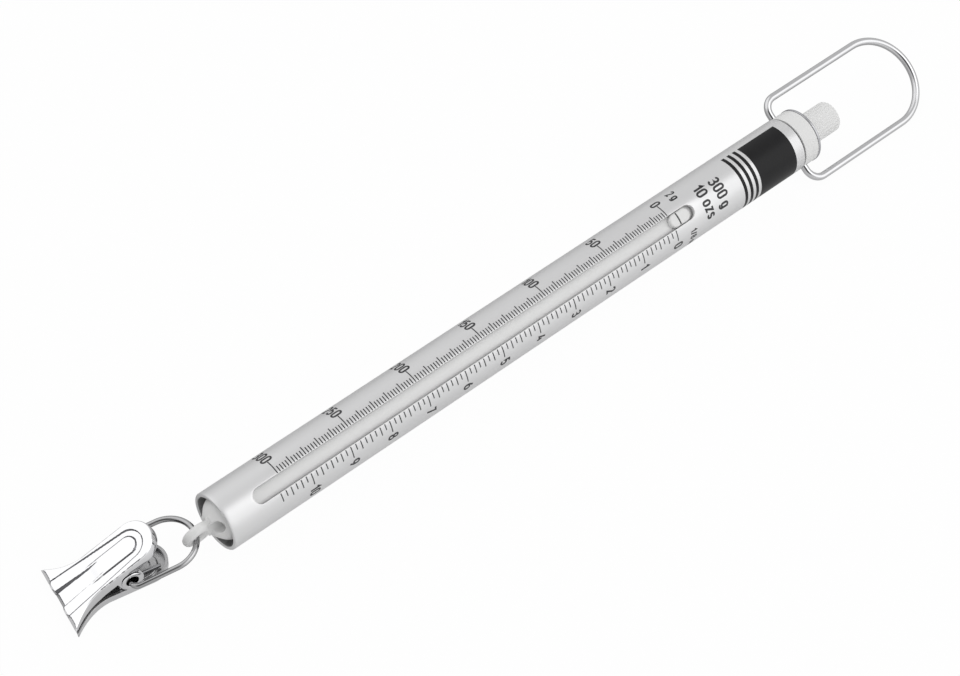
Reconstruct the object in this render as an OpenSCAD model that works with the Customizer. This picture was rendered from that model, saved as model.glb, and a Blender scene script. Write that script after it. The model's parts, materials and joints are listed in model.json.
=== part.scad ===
// Hand-held tubular spring scale lying on a flat surface.
// Local tube frame: X runs up the tube from the zero mark, Z points away from the ring's plane.
// A load on the clip draws the white slider out of the lower end of the tube.

/* [Tube] */
// Outside diameter of the tube
tube_d = 12.2; // [11.6:0.1:13]
// Wall thickness of the tube
tube_wall = 0.8; // [0.6:0.05:0.9]
// Length of the printed scale, from the zero mark to the full-load mark
scale_len = 100; // [80:5:140]
// Plain tube below the full-load mark
tube_below = 13.2; // [11:0.2:16]
// Tube above the zero mark
tube_above = 37.7; // [35:0.1:44]
// Width of the reading slot
slot_w = 3.2; // [3:0.1:3.8]
// Slot beyond the full-load mark
slot_below = 6.7; // [5.5:0.1:8]
// Slot above the zero mark
slot_above = 6.1; // [5.8:0.1:7]
// Turn of the slot about the tube, from square to the ring
slot_turn = 5; // [0:1:10]

/* [Slider] */
// Gap between the slider and the tube, on the radius
slider_gap = 0.3; // [0.25:0.05:0.4]
// Wall thickness of the slider
slider_wall = 0.7; // [0.6:0.05:0.8]
// Length of the pointer key
key_len = 5.3; // [4.8:0.1:5.4]
// Depth of the end plug's shoulder inside the tube's rim
plug_recess = 1; // [0.8:0.1:1.6]
// Distance from the plug's shoulder to the centre of its eye
eye_reach = 5; // [4.9:0.1:5.8]
// Thickness of the eye's ring
eye_t = 1.9; // [1.7:0.1:2]
// Turn of the eye about the tube
eye_turn = -15; // [-20:1:0]

/* [Top end] */
// Length of the white collar
collar_len = 3.85; // [3.6:0.05:4.4]
// Thickness of the metal rim above the collar
rim_t = 0.5; // [0.4:0.05:0.8]
// Diameter of the zero knob
knob_d = 6.9; // [6:0.1:8]
// Length of the zero knob
knob_len = 8.7; // [7:0.1:10]
// Diameter of the adjusting screw
screw_d = 3; // [2.8:0.1:3.2]
// Wire of the hanging ring
bail_wire = 1.6; // [1.4:0.1:1.7]
// Width of the hanging ring between its wire centres
bail_w = 19.7; // [18:0.1:22]
// Straight height of the hanging ring
bail_straight = 27.6; // [24:0.1:32]

/* [Springs] */
// Wire of the main spring
spring_wire = 0.6; // [0.5:0.05:0.65]
// Gap between the main spring and the slider, on the radius
spring_gap = 0.4; // [0.35:0.05:0.6]
// Turns of the main spring
spring_turns = 84; // [60:1:86]
// Wire of the clip's spring
clip_spring_wire = 0.7; // [0.6:0.05:0.75]

/* [Loop and clip] */
// Wire of the linking loop
loop_wire = 1.15; // [1:0.05:1.2]
// Width of the loop between its wire centres
loop_w = 11.2; // [11.2:0.1:11.6]
// Length of the loop between its wire centres
loop_len = 14.2; // [14:0.1:14.4]
// Sheet thickness of the clip
sheet_t = 0.6; // [0.5:0.05:0.7]
// Width of the jaws
jaw_w = 15.6; // [13:0.2:17]
// Width of the clip's handles
handle_w = 8.5; // [8.1:0.1:8.7]
// Length of each leaf
leaf_len = 21.2; // [20:0.1:23]
// Jaw edge to the hinge line
jaw_reach = 12.7; // [12:0.1:13.5]
// Height of the hinge line over the lower leaf's outside
hinge_h = 3.7; // [3.5:0.1:4]
// Angle between the two leaves
leaf_angle = 25.6; // [25:0.1:28]

/* [Hidden] */
$fn = 96;
e = 0.01;

// Tube and slot
tube_r = tube_d / 2;
bore_r = tube_r - tube_wall;
tube_lo = -scale_len - tube_below;
tube_hi = tube_above;
edge_chamfer = 0.35;
slot_lo = -scale_len - slot_below;
slot_hi = slot_above;

// Slider, key and end plug
slider_r = bore_r - slider_gap;
slider_bore_r = slider_r - slider_wall;
slider_hi = slot_above + 1;
plug_face = tube_lo + plug_recess;
plug_flange_t = 1;
slider_lo = plug_face + plug_flange_t;
plug_spigot = 3.2;
plug_fit = 0.03;
key_play = 0.3;
key_w = slot_w - key_play;
key_end_gap = 1.1;
key_hi = slot_hi - key_end_gap;
key_lo = key_hi - key_len;
key_r = tube_r - 0.1;
eye_x = plug_face - eye_reach;
eye_ring_r = 2.25;
neck_w = 2.1;
nose_len = 2.5;
nose_r = 2;
nose_step = 0.3;
pocket_r = 1.2;
pocket_off = 2.5;

// Cross pins that hold the main spring's ends
pin_d = 1.2;
pin_off = 2;
pin_turn = -50;
pin_cover = 0.2;
pin_len = 2 * sqrt(pow(slider_bore_r - pin_cover, 2) - pow(pin_off + pin_d / 2, 2));
pin_depth = 1.9;
pin_x = plug_face + pin_depth;
channel_r = 0.6;

// Top end
collar_lo = tube_hi + 0.05;
collar_hi = collar_lo + collar_len;
rim_lo = collar_hi + 0.05;
rim_hi = rim_lo + rim_t;
core_r = tube_r - 1.3;
cap_depth = 8;
cap_lo = tube_hi - cap_depth;
cap_gap = 0.03;
hub_bore_r = screw_d / 2 + 0.05;
washer_t = 0.3;
washer_r = 2.9;
knob_lo = rim_hi + washer_t;
knob_hi = knob_lo + knob_len;
knob_bore = 4.5;
knob_edge = 0.35;
knob_ribs = 24;
rib_groove_r = 0.35;
rib_groove_depth = 0.22;
thrust_t = 0.4;
clip_t = 0.5;
clip_groove_r = screw_d / 2 - 0.3;
clip_hi = cap_lo - thrust_t - 0.05;

// Spring carrier and main spring
carrier_r = slider_bore_r - spring_gap;
carrier_stand = 3.9;
carrier_lo = slider_hi + carrier_stand;
carrier_len = 12.5;
carrier_hi = carrier_lo + carrier_len;
screw_reach = 7;
screw_lo = carrier_hi - screw_reach;
carrier_slot = 3.4;
carrier_slot_w = 3;
carrier_pin_x = carrier_lo + 1.3;
spring_r = slider_bore_r - spring_gap - spring_wire / 2;
lead_in = 5.2;
lead_out = 2.4;
coil_lo = pin_x + lead_in;
coil_hi = carrier_lo - lead_out;
spring_steps = 8;
spring_sides = 6;
lead_turns = 1;

// Hanging ring
pin_line_x = tube_hi + 0.9;
bail_r = bail_w / 2;
bail_corner = 3;
bail_inner = 2.7;
bail_hole_r = bail_wire / 2 + 0.05;
notch_r = bail_hole_r + 0.1;
bail_arc_x = pin_line_x + bail_straight;
rest_tilt = asin((tube_r - bail_wire / 2) / bail_r);

// Loop: its far end hangs in the eye, its straight side runs through the hollow rivet
loop_yaw = -15;
loop_shift = -0.3;
loop_r = loop_w / 2;
loop_corner = 1.2;
loop_push = 0.11;
loop_aside = 1.12;
loop_sag = 0.47;
loop_rest = [eye_x + loop_push, loop_aside, tube_r - loop_sag];
loop_pitch = -asin((loop_rest.z - hinge_h) / loop_len);
loop_run = loop_len * cos(loop_pitch);
pivot = [
    loop_rest.x - loop_run * cos(loop_yaw) + loop_shift * sin(loop_yaw),
    loop_rest.y - loop_run * sin(loop_yaw) - loop_shift * cos(loop_yaw),
    hinge_h
];

// Clip, turned about the hinge line's middle
clip_yaw = -11.3;
jaw_half = jaw_w / 2;
handle_half = handle_w / 2;
flare_len = 8;
flare_steps = 16;
round_steps = 24;
skirt_h = 1.25;
skirt_start = 3;
channel_depth = 0.3;
channel_jaw_half = 4.2;
channel_end_r = 3;
channel_end_x = 3.4;
panel_half = 1.85;
panel_x = -3.2;
flute_depth = 0.45;
flute_x = -3.8;
flute_half = 1.3;
flute_jaw_half = 2.05;
jaw_clearance = 0.1;
trim_len = 4;
ear_r = 2.35;
ear_step = sheet_t + 0.1;
rivet_r = 1.65;
rivet_bore_r = 1.25;
rivet_run = 0.05;
rivet_rim_r = 2.1;
rivet_rim_t = 0.25;
rivet_half = handle_half + rivet_run + rivet_rim_t;
clip_coil_r = rivet_r + 0.25 + clip_spring_wire / 2;
clip_coil_pitch = clip_spring_wire + 0.42;
clip_coil_sweep = 3 * 360 + 180 - leaf_angle;
leg_len = 6.4;
leg_w = hinge_h - sheet_t - channel_depth - clip_spring_wire / 2 - 0.02;

// Middle of the whole scale, brought over the origin
jaw_x = pivot.x - jaw_reach * cos(clip_yaw) + jaw_half * sin(clip_yaw);
jaw_y = pivot.y - jaw_reach * sin(clip_yaw) + jaw_half * cos(clip_yaw);
ring_x = bail_arc_x + bail_r + bail_wire / 2;
ring_y = -bail_r * cos(rest_tilt) - bail_wire / 2;
place = [-(jaw_x + ring_x) / 2, -(jaw_y + ring_y) / 2, 0];

module at_tube(turn = 0) {
    translate(place)
        translate([0, 0, tube_r])
            rotate([rest_tilt + turn, 0, 0])
                children();
}

module at_loop() {
    translate(place)
        translate(pivot)
            rotate([0, loop_pitch, loop_yaw])
                translate([0, loop_shift, 0])
                    children();
}

module at_clip() {
    translate(place)
        translate(pivot)
            rotate([0, 0, clip_yaw])
                children();
}

// The upper leaf's frame: the lower leaf's, turned over and opened
module at_upper() {
    at_clip()
        rotate([0, -leaf_angle, 0])
            mirror([0, 0, 1])
                children();
}

module rod_x(r, x0, x1) {
    translate([x0, 0, 0])
        rotate([0, 90, 0])
            cylinder(h = x1 - x0, r = r);
}

module rod_y(r, y0, y1) {
    translate([0, y0, 0])
        rotate([-90, 0, 0])
            cylinder(h = y1 - y0, r = r);
}

// A turned piece on the X axis, from a profile of [radius, x] points
module turned(profile) {
    rotate([0, 90, 0])
        rotate([0, 0, 180])
            rotate_extrude()
                polygon(profile);
}

// A slot shape in the XY plane, cut or raised along Z
module stadium(x0, x1, w, h) {
    translate([x0 + w / 2, -w / 2, 0])
        cube([x1 - x0 - w, w, h]);
    translate([x0 + w / 2, 0, 0])
        cylinder(h = h, d = w);
    translate([x1 - w / 2, 0, 0])
        cylinder(h = h, d = w);
}

// A quarter or half turn of wire in the XY plane
module wire_arc(r, wire, from, sweep) {
    rotate([0, 0, from])
        rotate_extrude(angle = sweep)
            translate([r, 0])
                circle(d = wire, $fn = 32);
}

module tube() {
    color([0.80, 0.80, 0.81])
        at_tube()
            difference() {
                turned([
                    [bore_r, tube_lo],
                    [tube_r, tube_lo],
                    [tube_r, tube_hi - edge_chamfer],
                    [tube_r - edge_chamfer, tube_hi],
                    [bore_r, tube_hi]
                ]);
                rotate([slot_turn, 0, 0])
                    stadium(slot_lo, slot_hi, slot_w, tube_d);
            }
}

module end_cap() {
    color([0.72, 0.72, 0.74])
        at_tube()
            difference() {
                turned([
                    [hub_bore_r, cap_lo],
                    [bore_r - cap_gap, cap_lo],
                    [bore_r - cap_gap, tube_hi - 0.2],
                    [core_r, tube_hi - 0.2],
                    [core_r, rim_lo],
                    [tube_r - 0.15, rim_lo],
                    [tube_r, rim_lo + 0.15],
                    [tube_r, rim_hi - 0.15],
                    [tube_r - 0.15, rim_hi],
                    [hub_bore_r, rim_hi]
                ]);
                for (side = [-1, 1])
                    translate([pin_line_x, 0, 0])
                        scale([1, side, 1])
                            rod_y(bail_hole_r, bail_inner - 0.2, tube_r + 1);
            }
}

module collar() {
    color([0.90, 0.90, 0.89])
        at_tube()
            difference() {
                turned([
                    [core_r + cap_gap, collar_lo],
                    [tube_r - 0.1, collar_lo],
                    [tube_r - 0.1, collar_hi],
                    [core_r + cap_gap, collar_hi]
                ]);
                for (side = [-1, 1])
                    scale([1, side, 1]) {
                        translate([pin_line_x, 0, 0])
                            rod_y(notch_r, core_r - 1, tube_r + 1);
                        translate([collar_lo - 1, core_r - 1, -notch_r])
                            cube([pin_line_x - collar_lo + 1, tube_r - core_r + 2, 2 * notch_r]);
                    }
            }
}

module zero_knob() {
    color([0.91, 0.91, 0.90])
        at_tube()
            difference() {
                turned([
                    [0, knob_lo + knob_bore],
                    [screw_d / 2, knob_lo + knob_bore],
                    [screw_d / 2, knob_lo],
                    [knob_d / 2 - knob_edge, knob_lo],
                    [knob_d / 2, knob_lo + knob_edge],
                    [knob_d / 2, knob_hi - knob_edge],
                    [knob_d / 2 - knob_edge, knob_hi],
                    [0, knob_hi]
                ]);
                for (i = [0 : knob_ribs - 1])
                    rotate([360 * i / knob_ribs, 0, 0])
                        translate([0, 0, knob_d / 2 + rib_groove_r - rib_groove_depth])
                            rod_x(rib_groove_r, knob_lo - 1, knob_hi + 1);
            }
}

module adjusting_screw() {
    color([0.70, 0.70, 0.72])
        at_tube()
            turned([
                [0, screw_lo],
                [screw_d / 2, screw_lo],
                [screw_d / 2, clip_hi - clip_t],
                [clip_groove_r, clip_hi - clip_t],
                [clip_groove_r, clip_hi],
                [screw_d / 2, clip_hi],
                [screw_d / 2, knob_lo + knob_bore],
                [0, knob_lo + knob_bore]
            ]);
}

module retaining_clip() {
    color([0.55, 0.55, 0.57])
        at_tube()
            difference() {
                rod_x(washer_r, clip_hi - clip_t, clip_hi);
                rod_x(clip_groove_r, clip_hi - clip_t - 1, clip_hi + 1);
                translate([clip_hi - clip_t - 1, -clip_groove_r, 0])
                    cube([clip_t + 2, 2 * clip_groove_r, washer_r + 1]);
            }
}

module washer(x0, x1) {
    difference() {
        rod_x(washer_r, x0, x1);
        rod_x(hub_bore_r, x0 - 1, x1 + 1);
    }
}

module thrust_washer() {
    color([0.78, 0.74, 0.62])
        at_tube()
            washer(clip_hi, clip_hi + thrust_t);
}

module knob_washer() {
    color([0.60, 0.60, 0.62])
        at_tube()
            washer(rim_hi, knob_lo);
}

module spring_carrier() {
    color([0.78, 0.70, 0.45])
        at_tube()
            difference() {
                rod_x(carrier_r, carrier_lo, carrier_hi);
                rod_x(hub_bore_r, carrier_lo + carrier_slot - e, carrier_hi + 1);
                translate([carrier_lo - 1, -carrier_slot_w / 2, -carrier_r - 1])
                    cube([carrier_slot + 1, carrier_slot_w, 2 * carrier_r + 2]);
                translate([carrier_pin_x, 0, 0])
                    rod_y(pin_d / 2, -carrier_r - 1, carrier_r + 1);
            }
}

module carrier_pin() {
    color([0.66, 0.66, 0.68])
        at_tube()
            translate([carrier_pin_x, 0, 0])
                rod_y(pin_d / 2, -carrier_r + 0.3, carrier_r - 0.3);
}

// Points along the main spring's wire: a lead-in at the pin's offset, the coils, a lead-out on the axis
function smooth(t) = t * t * (3 - 2 * t);
function coil_radius(t) =
    t < lead_turns ? pin_off + (spring_r - pin_off) * smooth(t / lead_turns)
    : t > spring_turns - lead_turns ? spring_r * smooth((spring_turns - t) / lead_turns)
    : spring_r;
function coil_x(t) = coil_lo + (coil_hi - coil_lo) * t / spring_turns;
function radial(t) = [0, -cos(360 * t), sin(360 * t)];
coil_turns = [for (i = [0 : spring_turns * spring_steps]) i / spring_steps];
spring_lo = pin_x + pin_d / 2;
spring_hi = carrier_pin_x - pin_d / 2;
spring_points = concat(
    [[spring_lo, -pin_off, 0], [spring_lo + spring_wire, -pin_off, 0]],
    [for (t = coil_turns) [coil_x(t), 0, 0] + coil_radius(t) * radial(t)],
    [[spring_hi - spring_wire, 0, 0], [spring_hi, 0, 0]]
);
spring_sides_out = concat(
    [radial(0), radial(0)],
    [for (t = coil_turns) radial(t)],
    [radial(0), radial(0)]
);

// Points along the clip spring's wire: a leg on the lower handle, the coils, a leg on the upper handle
function turn_uw(u, w, a) = [u * cos(a) - w * sin(a), u * sin(a) + w * cos(a)];
function clip_coil_y(k) = clip_coil_pitch * (k - 0.5) * clip_coil_sweep / 360;
function uw_point(uw, y) = [uw[0], y, uw[1]];
clip_coil_steps = round(clip_coil_sweep / 45);
upper_coil = turn_uw(0.8, clip_coil_r, leaf_angle);
upper_end = turn_uw(leg_len, leg_w, leaf_angle);
clip_spring_points = concat(
    [uw_point([leg_len, -leg_w], clip_coil_y(0)), uw_point([0.8, -clip_coil_r], clip_coil_y(0))],
    [
        for (i = [0 : clip_coil_steps])
            let (k = i / clip_coil_steps, a = -90 - clip_coil_sweep * k)
                [clip_coil_r * cos(a), clip_coil_y(k), clip_coil_r * sin(a)]
    ],
    [uw_point(upper_coil, clip_coil_y(1)), uw_point(upper_end, clip_coil_y(1))]
);

function unit(v) = v / norm(v);
function along(p, i) = unit(p[min(i + 1, len(p) - 1)] - p[max(i - 1, 0)]);

// A tube of wire swept along points, one side vector for each point
module wire_sweep(p, out, wire, sides) {
    rings = [
        for (i = [0 : len(p) - 1])
            let (
                d = along(p, i),
                u = unit(out[i] - d * (out[i] * d)),
                v = cross(d, u)
            )
                for (k = [0 : sides - 1])
                    p[i] + wire / 2 * (cos(360 * k / sides) * u + sin(360 * k / sides) * v)
    ];
    last = (len(p) - 1) * sides;
    faces = concat(
        [[for (k = [0 : sides - 1]) k]],
        [
            for (i = [0 : len(p) - 2])
                for (k = [0 : sides - 1])
                    let (a = i * sides + k, b = i * sides + (k + 1) % sides)
                        each [[a, a + sides, b + sides], [a, b + sides, b]]
        ],
        [[for (k = [sides - 1 : -1 : 0]) last + k]]
    );
    polyhedron(points = rings, faces = faces, convexity = 10);
}

module main_spring() {
    color([0.62, 0.62, 0.64])
        at_tube(eye_turn + pin_turn)
            wire_sweep(spring_points, spring_sides_out, spring_wire, spring_sides);
}

module slider() {
    color([0.91, 0.91, 0.90])
        at_tube()
            difference() {
                union() {
                    rod_x(slider_r, slider_lo, slider_hi);
                    intersection() {
                        rotate([slot_turn, 0, 0])
                            stadium(key_lo, key_hi, key_w, tube_r);
                        rod_x(key_r, key_lo - 1, key_hi + 1);
                    }
                }
                rod_x(slider_bore_r, slider_lo - 1, slider_hi + 1);
            }
}

module end_plug() {
    color([0.90, 0.90, 0.89])
        at_tube(eye_turn)
            difference() {
                union() {
                    turned([
                        [0, plug_face - nose_len],
                        [nose_r, plug_face - nose_len],
                        [slider_r - nose_step, plug_face],
                        [slider_r, plug_face + nose_step],
                        [slider_r, slider_lo],
                        [slider_bore_r - plug_fit, slider_lo],
                        [slider_bore_r - plug_fit, slider_lo + plug_spigot],
                        [0, slider_lo + plug_spigot]
                    ]);
                    translate([eye_x + eye_ring_r, -neck_w / 2, -eye_ring_r])
                        cube([plug_face - eye_x - eye_ring_r + e, neck_w, 2 * eye_ring_r]);
                    translate([eye_x, 0, 0])
                        rotate([90, 0, 0])
                            rotate_extrude()
                                translate([eye_ring_r, 0])
                                    circle(d = eye_t, $fn = 32);
                }
                rotate([pin_turn, 0, 0]) {
                    translate([0, -pocket_off, 0])
                        rod_x(pocket_r, plug_face - nose_len - 1, pin_x);
                    translate([0, -pin_off, 0])
                        rod_x(channel_r, pin_x, slider_lo + plug_spigot + 1);
                    translate([pin_x, -pin_off, -slider_r])
                        cylinder(h = 2 * slider_r, d = pin_d);
                }
            }
}

module spring_pin() {
    color([0.66, 0.66, 0.68])
        at_tube(eye_turn + pin_turn)
            translate([pin_x, -pin_off, -pin_len / 2])
                cylinder(h = pin_len, d = pin_d);
}

module bail() {
    color([0.78, 0.78, 0.80])
        at_tube() {
            for (side = [-1, 1])
                scale([1, side, 1]) {
                    translate([pin_line_x, 0, 0])
                        rod_y(bail_wire / 2, bail_inner, bail_r - bail_corner);
                    translate([pin_line_x + bail_corner, bail_r - bail_corner, 0])
                        wire_arc(bail_corner, bail_wire, 90, 90);
                    translate([0, bail_r, 0])
                        rod_x(bail_wire / 2, pin_line_x + bail_corner, bail_arc_x);
                }
            translate([bail_arc_x, 0, 0])
                wire_arc(bail_r, bail_wire, -90, 180);
        }
}

module wire_loop() {
    color([0.76, 0.76, 0.78])
        at_loop() {
            rod_y(loop_wire / 2, -loop_r + loop_corner, loop_r - loop_corner);
            for (side = [-1, 1])
                scale([1, side, 1]) {
                    translate([loop_corner, loop_r - loop_corner, 0])
                        wire_arc(loop_corner, loop_wire, 90, 90);
                    translate([0, loop_r, 0])
                        rod_x(loop_wire / 2, loop_corner, loop_len - loop_r);
                }
            translate([loop_len - loop_r, 0, 0])
                wire_arc(loop_r, loop_wire, -90, 180);
        }
}

// Outline of a leaf seen from above, drawn in from its edge by an inset
function leaf_half(s) = handle_half + (jaw_half - handle_half) * pow(max(0, 1 - s / flare_len), 2);
function leaf_side(inset) = [
    for (i = [0 : flare_steps])
        let (s = flare_len * i / flare_steps)
            [s - jaw_reach, leaf_half(s) - inset]
];
function leaf_end(inset) = [
    for (i = [0 : round_steps])
        let (a = 90 - 180 * i / round_steps, r = handle_half - inset)
            [leaf_len - jaw_reach - handle_half + r * cos(a), r * sin(a)]
];
function flipped(p) = [for (i = [len(p) - 1 : -1 : 0]) [p[i][0], -p[i][1]]];
function leaf_outline(inset) = concat(leaf_side(inset), leaf_end(inset), flipped(leaf_side(inset)));

module ear(y_out, hole_r) {
    difference() {
        union() {
            rod_y(ear_r, y_out - sheet_t, y_out);
            translate([-ear_r, y_out - sheet_t, -hinge_h + sheet_t / 2])
                cube([2 * ear_r, sheet_t, hinge_h - sheet_t / 2]);
        }
        rod_y(hole_r, y_out - sheet_t - 1, y_out + 1);
    }
}

// A tongue shape from x0 with a round end about x1
function tongue(x0, half, x1, r) = concat(
    [[x0, -half], [x0, half]],
    [
        for (i = [0 : round_steps])
            let (a = 90 - 180 * i / round_steps)
                [x1 + r * cos(a), r * sin(a)]
    ]
);

// The U-shaped channel round the handle's middle panel, open at the jaw
module channel_shape(x0) {
    difference() {
        polygon(tongue(x0, channel_jaw_half, channel_end_x, channel_end_r));
        polygon(tongue(panel_x, panel_half, channel_end_x, panel_half));
    }
}

// The deeper flute that runs from the panel to the jaw edge
module flute_shape(x0) {
    polygon([
        [x0, -flute_jaw_half],
        [x0, flute_jaw_half],
        [flute_x, flute_half],
        [flute_x, -flute_half]
    ]);
}

// The sheet of one leaf before pressing, with its skirts
module blank() {
    linear_extrude(sheet_t)
        polygon(leaf_outline(0));
    linear_extrude(skirt_h)
        difference() {
            polygon(leaf_outline(0));
            polygon(leaf_outline(sheet_t));
            translate([-jaw_reach - 1, -jaw_half - 1])
                square([skirt_start + 1, jaw_w + 2]);
        }
}

// One pressed leaf, its outer face down and its ears standing round the hinge line.
// What is sunk in the outer face stands out on the inner face, trimmed at the jaw to grip flat.
module leaf(ear_y, hole_r) {
    difference() {
        union() {
            translate([0, 0, -hinge_h]) {
                blank();
                linear_extrude(sheet_t + channel_depth)
                    channel_shape(-jaw_reach);
                linear_extrude(sheet_t + flute_depth)
                    flute_shape(-jaw_reach);
            }
            for (side = [-1, 1])
                scale([1, side, 1])
                    ear(ear_y, hole_r);
        }
        translate([0, 0, -hinge_h - 1]) {
            linear_extrude(1 + channel_depth)
                channel_shape(-jaw_reach - 1);
            linear_extrude(1 + flute_depth)
                flute_shape(-jaw_reach - 1);
        }
        rotate([0, -leaf_angle / 2, 0])
            translate([-jaw_reach - 2, -jaw_half, -jaw_clearance])
                cube([trim_len, jaw_w, sheet_t + flute_depth]);
    }
}

module lower_leaf() {
    color([0.80, 0.80, 0.82])
        at_clip()
            leaf(handle_half - ear_step, rivet_r);
}

module upper_leaf() {
    color([0.84, 0.84, 0.86])
        at_upper()
            leaf(handle_half, rivet_r + rivet_run);
}

module hinge_rivet() {
    color([0.76, 0.76, 0.78])
        at_clip()
            difference() {
                union() {
                    rod_y(rivet_r, -rivet_half, rivet_half);
                    for (side = [-1, 1])
                        scale([1, side, 1])
                            rod_y(rivet_rim_r, rivet_half - rivet_rim_t, rivet_half);
                }
                rod_y(rivet_bore_r, -rivet_half - 1, rivet_half + 1);
            }
}

module torsion_spring() {
    color([0.62, 0.62, 0.64])
        at_clip()
            wire_sweep(
                clip_spring_points,
                [for (p = clip_spring_points) [0, 1, 0]],
                clip_spring_wire,
                spring_sides
            );
}

echo(main_spring_gap = (coil_hi - coil_lo) / spring_turns - spring_wire);
echo(clip_spring_gap = clip_coil_pitch - clip_spring_wire);
echo(place = place, rest_tilt = rest_tilt);
echo(bail_hinge = [place.x + pin_line_x, place.y, tube_r], bail_axis = [0, cos(rest_tilt), sin(rest_tilt)]);
echo(eye = [place.x + eye_x, place.y, tube_r], clip_hinge = place + pivot);
echo(eye_axis = [0, cos(rest_tilt + eye_turn), sin(rest_tilt + eye_turn)]);
echo(clip_axis = [-sin(clip_yaw), cos(clip_yaw), 0]);

tube();
end_cap();
collar();
zero_knob();
adjusting_screw();
retaining_clip();
thrust_washer();
knob_washer();
spring_carrier();
carrier_pin();
main_spring();
slider();
end_plug();
spring_pin();
bail();
wire_loop();
lower_leaf();
upper_leaf();
hinge_rivet();
torsion_spring();
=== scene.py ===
"""A tubular hand-held spring scale lying on a white surface.

Points are in millimetres in the local frame of the piece, and build() brings them into the row frame.
The tube's frame has X up the tube from the zero mark. An angle phi goes round the tube from the side that
faces away from the ring's plane towards the side near the viewer.
"""

import json
import math

import bmesh
import bpy
import numpy as np
from mathutils import Matrix, Vector


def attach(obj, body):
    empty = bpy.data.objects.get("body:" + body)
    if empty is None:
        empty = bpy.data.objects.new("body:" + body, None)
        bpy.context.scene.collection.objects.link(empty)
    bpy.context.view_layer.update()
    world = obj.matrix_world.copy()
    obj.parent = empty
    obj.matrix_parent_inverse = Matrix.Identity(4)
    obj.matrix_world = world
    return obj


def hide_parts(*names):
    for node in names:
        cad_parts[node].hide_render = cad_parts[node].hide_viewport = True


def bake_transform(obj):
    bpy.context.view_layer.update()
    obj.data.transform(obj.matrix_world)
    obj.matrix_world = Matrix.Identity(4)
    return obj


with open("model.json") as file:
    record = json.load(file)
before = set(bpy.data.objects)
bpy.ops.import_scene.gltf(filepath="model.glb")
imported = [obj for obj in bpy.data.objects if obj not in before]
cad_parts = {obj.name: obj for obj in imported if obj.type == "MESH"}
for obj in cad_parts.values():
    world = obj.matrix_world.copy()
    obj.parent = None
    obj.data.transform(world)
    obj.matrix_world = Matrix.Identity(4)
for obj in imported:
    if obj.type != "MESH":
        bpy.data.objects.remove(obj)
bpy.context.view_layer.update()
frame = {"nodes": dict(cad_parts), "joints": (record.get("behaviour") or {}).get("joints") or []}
joints = {j["name"]: j for j in frame["joints"]}
MM = 0.001
DEG = math.pi / 180


# Local frames

bail_axle = joints["bail_swing"]
tilt = math.atan2(bail_axle["axis"][2], bail_axle["axis"][1])
tube_axis = Vector((0, bail_axle["pos_m"][1], bail_axle["pos_m"][2]))
TUBE_LO, TUBE_HI = -113.2, 37.7
PIN_LINE = 38.6
zero_mark = bail_axle["pos_m"][0] - PIN_LINE * MM
SLOT_TURN = 5
EYE_TURN = -15
TUBE = Matrix.Translation((zero_mark, tube_axis.y, tube_axis.z)) @ Matrix.Rotation(tilt, 4, "X")
SLOT = TUBE @ Matrix.Rotation(SLOT_TURN * DEG, 4, "X")
EYE = TUBE @ Matrix.Rotation(EYE_TURN * DEG, 4, "X")

hinge = joints["jaw_open"]
pivot = Vector(hinge["pos_m"])
clip_yaw = math.atan2(-hinge["axis"][0], hinge["axis"][1])
LEAF_ANGLE = 25.6
CLIP = Matrix.Translation(pivot) @ Matrix.Rotation(clip_yaw, 4, "Z")
UPPER = CLIP @ Matrix.Rotation(-LEAF_ANGLE * DEG, 4, "Y") @ Matrix.Diagonal((1, 1, -1, 1))
LOOP_LEN, LOOP_YAW, LOOP_ASIDE, LOOP_SAG = 14.2, -15, -0.3, 0.47
loop_rise = tube_axis.z / MM - LOOP_SAG - pivot.z / MM
LOOP = (
    Matrix.Translation(pivot)
    @ Matrix.Rotation(LOOP_YAW * DEG, 4, "Z")
    @ Matrix.Rotation(-math.asin(loop_rise / LOOP_LEN), 4, "Y")
    @ Matrix.Translation((0, LOOP_ASIDE * MM, 0))
)


# Materials

# Sockets of a Mix node by number, because its float and colour sockets share their names
MIX_FACTOR = 0
COLOUR_A, COLOUR_B, COLOUR_RESULT = 6, 7, 2
FLOAT_A, FLOAT_B, FLOAT_RESULT = 2, 3, 0

COAT_ROUGHNESS = 0.1
NOISE_DETAIL = 4


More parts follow.
